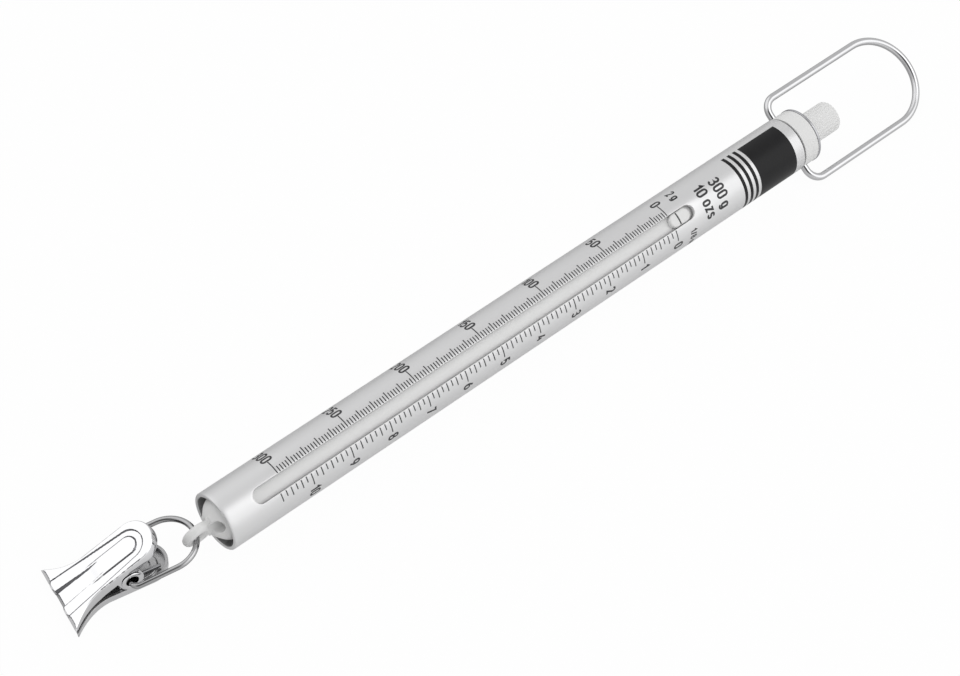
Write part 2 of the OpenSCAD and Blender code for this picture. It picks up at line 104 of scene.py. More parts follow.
def surface(name, dark, light, metallic, rough, scale, stretch=(1, 1, 1), coat=0.0, specular=0.5):
    """A material whose colour and roughness vary with a noise pattern laid in the object's own space."""
    m = bpy.data.materials.new(name)
    m.use_nodes = True
    n, links = m.node_tree.nodes, m.node_tree.links
    bsdf = n["Principled BSDF"]
    bsdf.inputs["Metallic"].default_value = metallic
    bsdf.inputs["Coat Weight"].default_value = coat
    bsdf.inputs["Coat Roughness"].default_value = COAT_ROUGHNESS
    bsdf.inputs["Specular IOR Level"].default_value = specular
    place = n.new("ShaderNodeTexCoord")
    mapping = n.new("ShaderNodeMapping")
    mapping.inputs["Scale"].default_value = stretch
    noise = n.new("ShaderNodeTexNoise")
    noise.inputs["Scale"].default_value = scale
    noise.inputs["Detail"].default_value = NOISE_DETAIL
    links.new(place.outputs["Object"], mapping.inputs["Vector"])
    links.new(mapping.outputs["Vector"], noise.inputs["Vector"])
    tone = n.new("ShaderNodeMix")
    tone.data_type = "RGBA"
    tone.inputs[COLOUR_A].default_value = (*dark, 1)
    tone.inputs[COLOUR_B].default_value = (*light, 1)
    links.new(noise.outputs["Fac"], tone.inputs[MIX_FACTOR])
    links.new(tone.outputs[COLOUR_RESULT], bsdf.inputs["Base Color"])
    gloss = n.new("ShaderNodeMapRange")
    gloss.inputs["To Min"].default_value = rough[0]
    gloss.inputs["To Max"].default_value = rough[1]
    links.new(noise.outputs["Fac"], gloss.inputs["Value"])
    links.new(gloss.outputs["Result"], bsdf.inputs["Roughness"])
    return m


# Streaks of noise along the tube, and rings of it round turned pieces
ALONG, TURNED = (0.2, 1, 1), (6, 1, 1)

tube_metal = surface(
    "satin_tube_metal", (0.74, 0.74, 0.745), (0.79, 0.79, 0.795), 0.6, (0.34, 0.40), 300, ALONG)
# Painted shade: the turned rim's metal is darkened to stand in for the shade of the gaps on both sides of it
rim_shade_metal = surface(
    "turned_rim_painted_shade", (0.46, 0.46, 0.48), (0.54, 0.54, 0.56), 1, (0.16, 0.26), 500, (8, 1, 1))
# Painted shade: dark metal for the tube's top chamfer, standing in for the shade in the gap under the collar
chamfer_shade_metal = surface("chamfer_painted_shade", (0.22, 0.22, 0.23), (0.28, 0.28, 0.29), 1, (0.18, 0.26), 500)
# Painted shade: dark metal for the tube's bore, standing in for the shade inside the tube
bore_shade_metal = surface("bore_painted_shade", (0.26, 0.26, 0.265), (0.32, 0.32, 0.325), 0.6, (0.40, 0.50), 300)
wire_metal = surface("bright_wire_metal", (0.63, 0.63, 0.64), (0.71, 0.71, 0.72), 1, (0.10, 0.16), 300)
loop_metal = surface("loop_wire_metal", (0.40, 0.40, 0.405), (0.50, 0.50, 0.505), 1, (0.12, 0.20), 300)
clip_chrome = surface("clip_chrome", (0.86, 0.86, 0.875), (0.90, 0.90, 0.91), 1, (0.05, 0.09), 250)
# Painted shade: darker copies of the clip's chrome for its inner side, the walls of its pressed pattern and
# its turned-in lip
clip_inside_shade = surface("clip_inner_side_shaded", (0.44, 0.44, 0.445), (0.54, 0.54, 0.545), 0.8, (0.28, 0.38), 250)
clip_wall_shade = surface("clip_pressed_wall_shaded", (0.16, 0.16, 0.17), (0.22, 0.22, 0.23), 1, (0.20, 0.30), 250)
clip_lip_shade = surface("clip_lip_shade", (0.50, 0.50, 0.51), (0.56, 0.56, 0.57), 1, (0.18, 0.26), 250)
# Painted shade: the clip's coil is darker than the main spring's steel, standing in for the shade inside the
# clip's handle
clip_coil_shade = surface(
    "clip_coil_steel_shaded", (0.28, 0.28, 0.29), (0.38, 0.38, 0.39), 1, (0.12, 0.2), 400, coat=0.4)
coil_steel = surface("coil_spring_steel", (0.55, 0.55, 0.57), (0.66, 0.66, 0.68), 1, (0.18, 0.28), 400)
plain_steel = surface("turned_steel", (0.58, 0.58, 0.60), (0.68, 0.68, 0.70), 1, (0.25, 0.35), 400, TURNED)
dark_steel = surface("blued_steel", (0.30, 0.30, 0.32), (0.40, 0.40, 0.42), 1, (0.30, 0.40), 400)
brass = surface("turned_brass", (0.72, 0.60, 0.34), (0.80, 0.70, 0.44), 1, (0.25, 0.35), 400, TURNED)
white_plastic = surface("white_plastic", (0.85, 0.85, 0.845), (0.88, 0.88, 0.875), 0, (0.28, 0.36), 200)
nylon = surface("natural_nylon", (0.74, 0.70, 0.58), (0.80, 0.76, 0.64), 0, (0.45, 0.55), 300)
scale_ink = surface("scale_ink", (0.020, 0.020, 0.022), (0.035, 0.035, 0.038), 0, (0.40, 0.50), 900)
field_ink = surface(
    "field_ink", (0.008, 0.008, 0.009), (0.013, 0.013, 0.014), 0, (0.32, 0.42), 600, specular=0.22)


# Mesh helpers

# Distances in metres at which points are one, and below which an edge is a sliver
WELD, SLIVER = 2e-7, 1e-8
SHARP = 32


def build(name, parts, place, material, body, nodes=(), sharp=SHARP):
    """One piece from (points in millimetres, faces) parts. place brings the points into the row frame.

    A piece that spans a joint, or that only serves to cut another, has no body.
    """
    points, faces = [], []
    for part_points, part_faces in parts:
        base = len(points)
        points.extend(tuple(MM * c for c in p) for p in part_points)
        faces.extend(tuple(base + i for i in f) for f in part_faces)
    mesh = bpy.data.meshes.new(name)
    mesh.from_pydata(points, [], faces)
    bm = bmesh.new()
    bm.from_mesh(mesh)
    bmesh.ops.remove_doubles(bm, verts=bm.verts, dist=WELD)
    bmesh.ops.dissolve_degenerate(bm, edges=bm.edges, dist=SLIVER)
    bm.transform(place)
    face_outwards(bm)
    bm.to_mesh(mesh)
    bm.free()
    piece = bpy.data.objects.new(name, mesh)
    bpy.context.scene.collection.objects.link(piece)
    shade(piece, material, sharp)
    if body:
        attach(piece, body)
    if nodes:
        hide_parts(*nodes)
    return piece


def face_outwards(bm):
    """Turns the faces of every island outwards, by the sign of the volume round its middle."""
    bmesh.ops.recalc_face_normals(bm, faces=bm.faces)
    left = set(bm.faces)
    for seed in bm.faces:
        if seed not in left:
            continue
        left.remove(seed)
        island, waiting = [], [seed]
        while waiting:
            face = waiting.pop()
            island.append(face)
            for edge in face.edges:
                for other in edge.link_faces:
                    if other in left:
                        left.remove(other)
                        waiting.append(other)
        centres = [f.calc_center_median() for f in island]
        middle = sum(centres, Vector()) / len(centres)
        if sum((c - middle).dot(f.normal) * f.calc_area() for c, f in zip(centres, island)) < 0:
            bmesh.ops.reverse_faces(bm, faces=island)


def paint(piece, place, extra, chosen):
    """Gives faces the extra materials. chosen(centre, normal) picks the slot in the local frame."""
    for m in extra:
        piece.data.materials.append(m)
    back = place.inverted()
    turn = back.to_3x3()
    for p in piece.data.polygons:
        p.material_index = chosen(back @ p.center / MM, turn @ p.normal)


def shade(piece, material, sharp=SHARP):
    """Gives the whole piece one material and smooth faces, with edges sharper than the angle left sharp."""
    piece.data.materials.clear()
    piece.data.materials.append(material)
    for p in piece.data.polygons:
        p.use_smooth = True
    piece.data.set_sharp_from_angle(angle=sharp * DEG)


def grid(rows, wrap=False):
    """Points and faces of a sheet between rows of points. wrap joins the last row to the first."""
    n = len(rows[0])
    points = [tuple(p) for row in rows for p in row]
    faces = []
    for i in range(len(rows) if wrap else len(rows) - 1):
        a, b = i * n, (i + 1) % len(rows) * n
        faces.extend((a + k, a + k + 1, b + k + 1, b + k) for k in range(n - 1))
    return points, faces


def rounded(corners, steps=4):
    """A line through (x, r, radius) corners, each corner rounded by its radius."""
    line = []
    for i, (x, r, radius) in enumerate(corners):
        p = Vector((x, r))
        if radius == 0 or i in (0, len(corners) - 1):
            line.append((x, r))
            continue
        before = (Vector(corners[i - 1][:2]) - p).normalized() * radius
        after = (Vector(corners[i + 1][:2]) - p).normalized() * radius
        for k in range(steps + 1):
            t = k / steps
            q = (1 - t) ** 2 * (p + before) + 2 * t * (1 - t) * p + t ** 2 * (p + after)
            line.append((q.x, q.y))
    return line


def on_tube(x, phi, r):
    """The point at the height x, the angle phi in degrees and the radius r."""
    return (x, -r * math.sin(phi * DEG), r * math.cos(phi * DEG))


def revolve(profile, steps=96):
    """A profile of (x, r) points turned round the X axis."""
    return grid([[on_tube(x, 360 * k / steps, r) for x, r in profile] for k in range(steps)], wrap=True)


def across(part):
    """The same part with its X axis along Y."""
    points, faces = part
    return [(-y, x, z) for x, y, z in points], faces


END_CHAMFER = 0.2


def sweep(path, radius, sides, start=(0, 0, 1)):
    """A wire of the given radius along the path, closed by flat ends with a small chamfer.

    Its sides are counted from the direction start, as near as the path allows.
    """
    p = np.array(path, float)
    along = np.gradient(p, axis=0)
    along /= np.linalg.norm(along, axis=1)[:, None]
    side = np.array(start, float)
    turn = [2 * math.pi * k / sides for k in range(sides + 1)]
    rows = []
    for i in range(len(p)):
        side = side - along[i] * (side @ along[i])
        side /= np.linalg.norm(side)
        other = np.cross(along[i], side)
        rows.append([p[i] + radius * (math.cos(a) * side + math.sin(a) * other) for a in turn])

    def end(row, centre, out):
        tip = centre + END_CHAMFER * radius * out
        return [tip + (1 - END_CHAMFER) * (q - centre) for q in row], [tip for q in row]

    a1, a2 = end(rows[0], p[0], -along[0])
    b1, b2 = end(rows[-1], p[-1], along[-1])
    return grid([a2, a1, *rows, b1, b2])


def stadium(lo, hi, half, arc_steps, straight_steps=1):
    """The closed line of (x, y) points round a slot whose round ends are centred at lo and hi."""
    turn = [math.pi * (k / arc_steps - 0.5) for k in range(arc_steps + 1)]
    line = [(hi + half * math.cos(a), half * math.sin(a)) for a in turn]
    line += [(hi + (lo - hi) * k / straight_steps, half) for k in range(1, straight_steps)]
    line += [(lo - half * math.cos(a), half * math.sin(a)) for a in reversed(turn)]
    return line + [(lo + (hi - lo) * k / straight_steps, -half) for k in range(1, straight_steps + 1)]


def arc(centre, r, a0, a1, steps):
    """Points of an arc in the local XY plane, from a0 to a1 degrees."""
    turn = [(a0 + (a1 - a0) * k / steps) * DEG for k in range(steps + 1)]
    return [(centre[0] + r * math.cos(a), centre[1] + r * math.sin(a), 0) for a in turn]


FAR_STEPS = 48


def hairpin(foot_x, ends, half, corner, far_x, corner_steps, straight_steps):
    """A wire that leaves the axis at foot_x, turns up one side, goes round the far arc and comes back.

    ends are the wire's first points at foot_x, as distances from the axis, ahead of its first corner.
    """
    side = [(foot_x, -y, 0) for y in ends]
    side += arc((foot_x + corner, corner - half), corner, 180, 270, corner_steps)
    run = far_x - foot_x - corner
    side += [(foot_x + corner + run * k / straight_steps, -half, 0) for k in range(1, straight_steps)]
    return side + arc((far_x, 0), half, -90, 90, FAR_STEPS) + [(x, -y, z) for x, y, z in reversed(side)]


def cut(piece, part, place, operation="DIFFERENCE"):
    """Cuts a part, given in a local frame, out of a piece, or joins it on with UNION."""
    tool = build("cutter", [part], place, plain_steel, None)
    bpy.context.view_layer.update()
    change = piece.modifiers.new("cut", "BOOLEAN")
    change.operation = operation
    change.object = tool
    change.solver = "EXACT"
    apply_modifiers(piece)
    bpy.data.objects.remove(tool)


def apply_modifiers(piece):
    """Puts the mesh that the modifiers give in place of the piece's own."""
    seen = piece.evaluated_get(bpy.context.evaluated_depsgraph_get())
    mesh = bpy.data.meshes.new_from_object(seen)
    piece.modifiers.clear()
    piece.data = mesh


# Tube

TUBE_R, TUBE_BORE = 6.08, 5.3
SLOT_HALF, SLOT_LO, SLOT_HI = 1.6, -106.7, 6.1
EDGE = 0.05
ARC_STEPS, SLOT_STEPS, BACK_STEPS, END_STEPS = 14, 56, 128, 10
arc_lo = SLOT_LO + SLOT_HALF
arc_hi = SLOT_HI - SLOT_HALF


def tube_angles(half, r):
    """Angles round the tube in the slot's frame: those over the slot's width, and those over the rest."""
    edge = math.asin(half / r) / DEG
    turn = [math.pi * (k / ARC_STEPS - 0.5) for k in range(ARC_STEPS + 1)]
    over = [math.asin(half * math.sin(a) / r) / DEG for a in turn]
    back = [edge + (360 - 2 * edge) * k / BACK_STEPS for k in range(BACK_STEPS + 1)]
    return over, back


def slotted_wall(r, half, lo, hi):
    """The tube's outer or inner surface, with the slot left open."""
    over, back = tube_angles(half, r)
    ends = [k / END_STEPS for k in range(END_STEPS + 1)]
    xs = (
        [lo + (arc_lo - lo) * t for t in ends]
        + [arc_lo + (arc_hi - arc_lo) * k / SLOT_STEPS for k in range(1, SLOT_STEPS)]
        + [arc_hi + (hi - arc_hi) * t for t in ends]
    )
    sides = grid([[on_tube(x, a, r) for x in xs] for a in back])
    upper, lower = [], []
    for k, a in enumerate(over):
        reach = half * math.cos(math.pi * (k / ARC_STEPS - 0.5))
        upper.append([on_tube(arc_hi + reach + (hi - arc_hi - reach) * t, a, r) for t in ends])
        lower.append([on_tube(lo + (arc_lo - reach - lo) * t, a, r) for t in ends])
    return [sides, grid(upper), grid(lower)]


def slot_line(half, depth, r):
    """The closed line round the slot at a depth under the surface of radius r."""
    flat = stadium(arc_lo, arc_hi, half, ARC_STEPS, SLOT_STEPS)
    return [(x, -s, math.sqrt(r * r - s * s) - depth) for x, s in flat]


outer_half = SLOT_HALF + EDGE
quarter = [k / 4 * math.pi / 2 for k in range(5)]
wall_lines = [
    slot_line(SLOT_HALF + EDGE * (1 - math.sin(q)), EDGE * (1 - math.cos(q)), TUBE_R) for q in quarter
]
wall_lines.append(slot_line(SLOT_HALF, 0, TUBE_BORE))

# Both ends of the tube as (x, r) points, from the outer wall to the inner
top_profile = [
    (TUBE_HI - 0.50, TUBE_R), (TUBE_HI - 0.46, TUBE_R - 0.02), (TUBE_HI - 0.04, TUBE_R - 0.41),
    (TUBE_HI, TUBE_R - 0.45), (TUBE_HI, TUBE_BORE + 0.02), (TUBE_HI - 0.02, TUBE_BORE),
]
low_profile = [
    (TUBE_LO + 0.30, TUBE_R), (TUBE_LO + 0.17, TUBE_R - 0.03), (TUBE_LO + 0.06, TUBE_R - 0.12),
    (TUBE_LO, TUBE_R - 0.26), (TUBE_LO, TUBE_BORE + 0.18), (TUBE_LO + 0.05, TUBE_BORE + 0.05),
    (TUBE_LO + 0.18, TUBE_BORE),
]


def end_rings(profile):
    """A turned end, on the angles of the outer wall at its first ring and of the inner wall at its last."""
    outer = tube_angles(outer_half, TUBE_R)
    inner = tube_angles(SLOT_HALF, TUBE_BORE)
    parts = []
    for group in range(2):
        rows = []
        for i, (x, r) in enumerate(profile):
            t = i / (len(profile) - 1)
            angles = [(1 - t) * a + t * b for a, b in zip(outer[group], inner[group])]
            rows.append([on_tube(x, a, r) for a in angles])
        parts.append(grid(rows))
    return parts


tube = build(
    "tube_shell",
    slotted_wall(TUBE_R, outer_half, low_profile[0][0], top_profile[0][0])
    + slotted_wall(TUBE_BORE, SLOT_HALF, low_profile[-1][0], top_profile[-1][0])
    + end_rings(top_profile) + end_rings(low_profile) + [grid(wall_lines)],
    SLOT, tube_metal, "tube_body", ["tube"], 25,
)


def tube_face(c, n):
    """The bore gets darker metal as painted shade inside the tube, and the chamfer at the top darker metal
    still as painted shade in the gap under the collar.
    """
    if math.hypot(c.y, c.z) < TUBE_BORE + 0.02:
        return 1
    return 2 if TUBE_HI - 0.47 < c.x < TUBE_HI - 0.02 else 0


paint(tube, SLOT, [bore_shade_metal, chamfer_shade_metal], tube_face)


# Printing on the tube

INK_HEIGHT = 0.012
INK_LOW, INK_TOP = TUBE_R - 0.02, TUBE_R + INK_HEIGHT
PATCH_STEP = 2.5


def capped(rows):
    """A strip of ink from its cross-sections, whose last point is the first again, with both ends closed."""
    points, faces = grid(rows)
    last = len(points) - len(rows[0])
    return points, faces + [(0, 1, 2, 3), (last + 3, last + 2, last + 1, last)]


def patch(x0, x1, phi0, phi1):
    """A thin curved plate of ink on the tube."""
    n = max(1, round((phi1 - phi0) / PATCH_STEP))
    section = (x0, INK_LOW), (x0, INK_TOP), (x1, INK_TOP), (x1, INK_LOW), (x0, INK_LOW)
    return capped([[on_tube(x, phi0 + (phi1 - phi0) * k / n, r) for x, r in section] for k in range(n + 1)])


# The gram scale runs along one side of the slot and the ounce scale along the other. Both start at the slot,
# and their ticks end at the angle of their kind.
LINE = 0.23
GRAMS_PER_MM, FULL_LOAD, GRAMS_PER_TICK = 3, 300, 2
OUNCE, FULL_OUNCES, TICKS_PER_OUNCE = 28.3495 / GRAMS_PER_MM, 10, 8
GRAM_START, GRAM_TICK, TEN_GRAM_TICK, FIFTY_GRAM_TICK = -11.2, -23.5, -28.5, -40
OUNCE_START, EIGHTH_TICK, QUARTER_TICK, OUNCE_TICK = 21.6, 33.5, 38.5, 45
OUNCE_TICKS = 87

ticks = []
for g in range(0, FULL_LOAD + 1, GRAMS_PER_TICK):
    end = FIFTY_GRAM_TICK if g % 50 == 0 else TEN_GRAM_TICK if g % 10 == 0 else GRAM_TICK
    x = -g / GRAMS_PER_MM
    ticks.append(patch(x - LINE / 2, x + LINE / 2, end, GRAM_START))
for k in range(OUNCE_TICKS):
    end = OUNCE_TICK if k % TICKS_PER_OUNCE == 0 else QUARTER_TICK if k % 2 == 0 else EIGHTH_TICK
    x = -k * OUNCE / TICKS_PER_OUNCE
    ticks.append(patch(x - LINE / 2, x + LINE / 2, OUNCE_START, end))
build("scale_ticks", ticks, TUBE, scale_ink, "tube_body")


def bend(cx, cy, rx, ry, a0, a1):
    """Points of an elliptical arc, from a0 to a1 degrees."""
    n = max(3, round(abs(a1 - a0) / 18))
    turn = [(a0 + (a1 - a0) * k / n) * DEG for k in range(n + 1)]
    return [(cx + rx * math.cos(a), cy + ry * math.sin(a)) for a in turn]


def ring(w, lo, hi, ry):
    """A closed upright loop with straight sides."""
    line = bend(w / 2, hi - ry, w / 2, ry, 0, 180) + bend(w / 2, lo + ry, w / 2, ry, 180, 360)
    return line + [line[0]]


# Each figure is a width and its strokes, for figures one unit high and measured between the strokes' middles.
GLYPHS = {
    "0": (0.46, [ring(0.46, 0, 1, 0.25)]),
    "1": (0.26, [[(0, 0.74), (0.24, 1), (0.24, 0)]]),
    "2": (0.46, [bend(0.23, 0.75, 0.23, 0.25, 170, -25) + [(0, 0), (0.46, 0)]]),
    "3": (0.46, [bend(0.22, 0.77, 0.21, 0.23, 160, -90) + bend(0.22, 0.27, 0.24, 0.27, 90, -160)]),
    "4": (0.50, [[(0.30, 1), (0, 0.27), (0.50, 0.27)], [(0.37, 0.55), (0.37, 0)]]),
    "5": (0.46, [[(0.42, 1), (0.06, 1), (0.03, 0.52)] + bend(0.22, 0.31, 0.24, 0.31, 120, -155)]),
    "6": (0.46, [ring(0.46, 0, 0.60, 0.23), [(0, 0.32), (0.02, 0.60), (0.30, 1)]]),
    "7": (0.44, [[(0, 1), (0.44, 1), (0.12, 0)]]),
    "8": (0.46, [ring(0.46, 0, 0.53, 0.22), [(0.03 + 0.87 * x, y) for x, y in ring(0.46, 0.53, 1, 0.21)]]),
    "9": (0.46, [ring(0.46, 0.40, 1, 0.23), [(0.46, 0.68), (0.44, 0.40), (0.16, 0)]]),
    "g": (0.42, [ring(0.42, 0, 0.68, 0.22), [(0.42, 0.68)] + bend(0.21, -0.02, 0.21, 0.22, 0, -155)]),
    "o": (0.42, [ring(0.42, 0, 0.68, 0.22)]),
    "z": (0.36, [[(0, 0.68), (0.34, 0.68), (0, 0), (0.36, 0)]]),
    "s": (0.36, [bend(0.18, 0.51, 0.17, 0.17, 20, 270) + bend(0.18, 0.17, 0.18, 0.17, 90, -160)]),
    "/": (0.34, [[(0, -0.05), (0.34, 1.05)]]),
}


# The figures' stroke, the gap between two and a word space, the most between a stroke's points, and the
# least cosine to which a sharp corner is mitred, for figures one unit high
STROKE, GAP, SPACE, POINT_STEP, MITRE = 0.19, 0.12, 0.32, 0.12, 0.4


def printed(text, height, x, phi, align="centre", width=0.86):
    """Figures on the tube that read round it with their heads towards the top, centred on the height x."""
    size = height / (1 + STROKE)
    lines, pen = [], 0
    for c in text:
        if c == " ":
            pen += SPACE
            continue
        wide, strokes = GLYPHS[c]
        lines += [[((pen + u) * width, v) for u, v in line] for line in strokes]
        pen += wide + STROKE + GAP
    reach = (pen - STROKE - GAP) * width
    shift = {"centre": -reach / 2, "left": 0, "right": -reach}[align]
    return [stroke_part(line, size, shift, x, phi) for line in lines]


def stroke_part(line, size, shift, x, phi):
    """One stroke of a figure, along a line of (u, v) points: u goes round the tube and v up it."""
    even = [Vector(line[0])]
    for q in map(Vector, line[1:]):
        start = even[-1]
        n = math.ceil((q - start).length / POINT_STEP)
        even += [start.lerp(q, k / n) for k in range(1, n + 1)]
    closed = (even[0] - even[-1]).length < 1e-6
    if closed:
        even.pop()
    rows = []
    for i, q in enumerate(even):
        before = (q - even[i - 1]).normalized() if i or closed else None
        after = (even[(i + 1) % len(even)] - q).normalized() if i < len(even) - 1 or closed else None
        a, b = before or after, after or before
        out = Vector((-(a + b).y, (a + b).x)).normalized()
        out *= STROKE / 2 / max(MITRE, out.dot(Vector((-a.y, a.x))))
        row = []
        for side, r in ((1, INK_LOW), (1, INK_TOP), (-1, INK_TOP), (-1, INK_LOW), (1, INK_LOW)):
            u, v = q + side * out
            row.append(on_tube(x + (v - 0.5) * size, phi + (u + shift) * size / TUBE_R / DEG, r))
        rows.append(row)
    return grid(rows, wrap=True) if closed else capped(rows)


FIGURE, GRAM_FIGURES, OUNCE_FIGURES = 2.55, -42.5, 52
figures = []
for g in range(0, FULL_LOAD + 1, 50):
    figures += printed(str(g), FIGURE, 0.15 - g / GRAMS_PER_MM, GRAM_FIGURES, "right")
for o in range(FULL_OUNCES + 1):
    figures += printed(str(o), FIGURE, -o * OUNCE, OUNCE_FIGURES, "left")
figures += printed("300 g", 2.9, 13.9, 7.5, "centre", 0.84)
figures += printed("10 ozs", 2.9, 9.9, 7)
figures += printed("2 g", 2.2, 4.6, -42, "centre", 0.76)
figures += printed("1/8 oz", 1.8, 4.4, 42, "left")
build("scale_figures", figures, TUBE, scale_ink, "tube_body")

FIELD_LO, FIELD_HI, FIELD_FROM, FIELD_TO = 24.2, 34.8, -50, 86
BAND_W, BANDS = 0.8, (19.4, 21.0, 22.6)
field = [patch(FIELD_LO, FIELD_HI, FIELD_FROM, FIELD_TO)]
field += [patch(x, x + BAND_W, FIELD_FROM, FIELD_TO) for x in BANDS]
build("dark_field", field, TUBE, field_ink, "tube_body")


# Top end

COLLAR_LO, COLLAR_HI, COLLAR_R, COLLAR_BORE, COLLAR_ROUND = 37.75, 41.6, 5.98, 4.85, 0.12
RIM_LO, RIM_HI, RIM_R, RIM_ROUND = 41.65, 42.15, 6.08, 0.14
CAP_LO, CAP_SHOULDER, CAP_R, CAP_BORE, CORE_R = 29.7, 37.5, 5.25, 1.55, 4.8

cap_line = rounded([
    (CAP_LO, CAP_BORE, 0), (CAP_LO, CAP_R, 0.2), (CAP_SHOULDER, CAP_R, 0), (CAP_SHOULDER, CORE_R, 0),
    (RIM_LO, CORE_R, 0), (RIM_LO, RIM_R, RIM_ROUND), (RIM_HI, RIM_R, RIM_ROUND), (RIM_HI, CAP_BORE, 0),
    (CAP_LO, CAP_BORE, 0),
])
build("end_cap_body", [revolve(cap_line, 128)], TUBE, rim_shade_metal, "tube_body", ["end_cap"])
collar_line = rounded([
    (COLLAR_LO + 0.5, COLLAR_BORE, 0), (COLLAR_LO, COLLAR_BORE, 0),
    (COLLAR_LO, COLLAR_R, COLLAR_ROUND), (COLLAR_HI, COLLAR_R, COLLAR_ROUND),
    (COLLAR_HI, COLLAR_BORE, 0), (COLLAR_LO + 0.5, COLLAR_BORE, 0),
])
collar = build("collar_band", [revolve(collar_line, 128)], TUBE, white_plastic, "tube_body", ["collar"])

NOTCH_R, NOTCH_IN, NOTCH_OUT = 0.93, 4.2, 7


def notch_cutter(side):
    """A block that clears the bail's end: round at the pin line and open towards the tube."""
    turn = [(90 - 180 * k / 16) * DEG for k in range(17)]
    line = [(PIN_LINE + NOTCH_R * math.cos(a), NOTCH_R * math.sin(a)) for a in turn]
    line += [(COLLAR_LO - 1, -NOTCH_R), (COLLAR_LO - 1, NOTCH_R)]
    n = len(line)
    points = [(x, side * y, z) for y in (NOTCH_IN, NOTCH_OUT) for x, z in line]
    faces = [tuple(range(n)), tuple(range(n, 2 * n))]
    faces += [(k, (k + 1) % n, (k + 1) % n + n, k + n) for k in range(n)]
    return points, faces


for side in (-1, 1):
    cut(collar, notch_cutter(side), TUBE)
shade(collar, white_plastic, 30)

KNOB_LO, KNOB_HI, KNOB_R = 42.45, 51.13, 3.44
RIBS, RIB_STEPS, RIB_DEPTH = 24, 12, 0.13
# The ribs run out on the knob's faces, between these radii
RIB_END, RIB_FULL = 2.2, 3.1

knob_line = rounded([(KNOB_LO, 0, 0), (KNOB_LO, KNOB_R, 0.25), (KNOB_HI, KNOB_R, 0.4), (KNOB_HI, 0, 0)], 6)
dense = []
for (xa, ra), (xb, rb) in zip(knob_line, knob_line[1:]):
    n = 10 if abs(xb - xa) > 2 else 1
    dense += [(xa + (xb - xa) * k / n, ra + (rb - ra) * k / n) for k in range(n)]
dense.append(knob_line[-1])
rows = []
for k in range(RIBS * RIB_STEPS):
    phi = 360 * k / (RIBS * RIB_STEPS)
    groove = RIB_DEPTH * (0.5 - 0.5 * math.cos(RIBS * phi * DEG))
    share = [min(1, max(0, (r - RIB_END) / (RIB_FULL - RIB_END))) for x, r in dense]
    rows.append([on_tube(x, phi, r - groove * part) for (x, r), part in zip(dense, share)])
build("zero_knob_body", [grid(rows, wrap=True)], TUBE, white_plastic, "knob", ["zero_knob"],
      50)

BAIL_R, BAIL_WIRE, BAIL_CORNER, BAIL_REACH = 9.85, 1.598, 3, 27.6
bail_ends = 2.7, 4.5, BAIL_R - BAIL_CORNER - 0.3
bail_path = hairpin(PIN_LINE, bail_ends, BAIL_R, BAIL_CORNER, PIN_LINE + BAIL_REACH, 12, 8)
build("hanging_ring", [sweep(bail_path, BAIL_WIRE / 2, 28)], TUBE, wire_metal, "bail", ["bail"])


# Slider, key and end plug

SLIDER_LO, SLIDER_HI, SLIDER_R = -111.2, 7.1, 4.98
body_line = rounded([
    (SLIDER_LO, 0, 0), (SLIDER_LO, SLIDER_R, 0.1), (SLIDER_HI, SLIDER_R, 0.3), (SLIDER_HI, 0, 0),
])
KEY_LO, KEY_HI, KEY_HALF, KEY_R = -0.3, 5.0, 1.45, 5.98
KEY_ROUND, KEY_SUNK, KEY_STEPS = 0.4, 1.4, 16


def key_line(inset, depth):
    """The closed line round the key, drawn in by an inset and sunk by a depth."""
    flat = stadium(KEY_LO + KEY_HALF, KEY_HI - KEY_HALF, KEY_HALF - inset, KEY_STEPS)
    return [(x, -s, math.sqrt(KEY_R ** 2 - s * s) - depth) for x, s in flat]


key_rows = [key_line(0, KEY_SUNK)]
key_rows += [key_line(KEY_ROUND * (1 - math.cos(q)), KEY_ROUND * (1 - math.sin(q))) for q in quarter]
key_rows += [key_line(inset, 0) for inset in (0.7, 1.05, 1.35, KEY_HALF)]
build("slider_body", [revolve(body_line, 112)], TUBE, white_plastic, "slider", ["slider"])
build("slider_key", [grid(key_rows)], SLOT, white_plastic, "slider")


def index_line(x0, x1, steps=16):
    """A line printed across the key, over its rounded edges."""
    rows = []
    for k in range(steps + 1):
        s = (KEY_HALF - 0.03) * (2 * k / steps - 1)
        inset = max(0, abs(s) - (KEY_HALF - KEY_ROUND))
        drop = KEY_ROUND - math.sqrt(max(0, KEY_ROUND ** 2 - inset ** 2))
        top = math.sqrt(KEY_R ** 2 - s * s) - drop + INK_HEIGHT
        low = top - INK_HEIGHT - 0.03
        rows.append([(x, -s, z) for x, z in ((x0, low), (x0, top), (x1, top), (x1, low), (x0, low))])
    return capped(rows)


build("index_line", [index_line(1.75, 2.07)], SLOT, scale_ink, "slider")

PLUG_FACE, PLUG_R, CONE_R, NOSE_R, NOSE_LEN = -112.2, 4.5, 3.9, 2.0, 2.5
EYE_X, EYE_RING, EYE_T, NECK_W = -117.2, 2.25, 1.9, 2.1
NOSE_TIP = PLUG_FACE - NOSE_LEN
plug_line = rounded([
    (NOSE_TIP, 0, 0), (NOSE_TIP, NOSE_R, 0.5), (PLUG_FACE - 0.8, CONE_R, 0.6),
    (PLUG_FACE + 0.3, PLUG_R, 0.3), (SLIDER_LO, PLUG_R, 0), (SLIDER_LO, 0, 0),
])
plug = build("eye_plug", [revolve(plug_line, 112)], EYE, white_plastic, "slider", ["end_plug"])


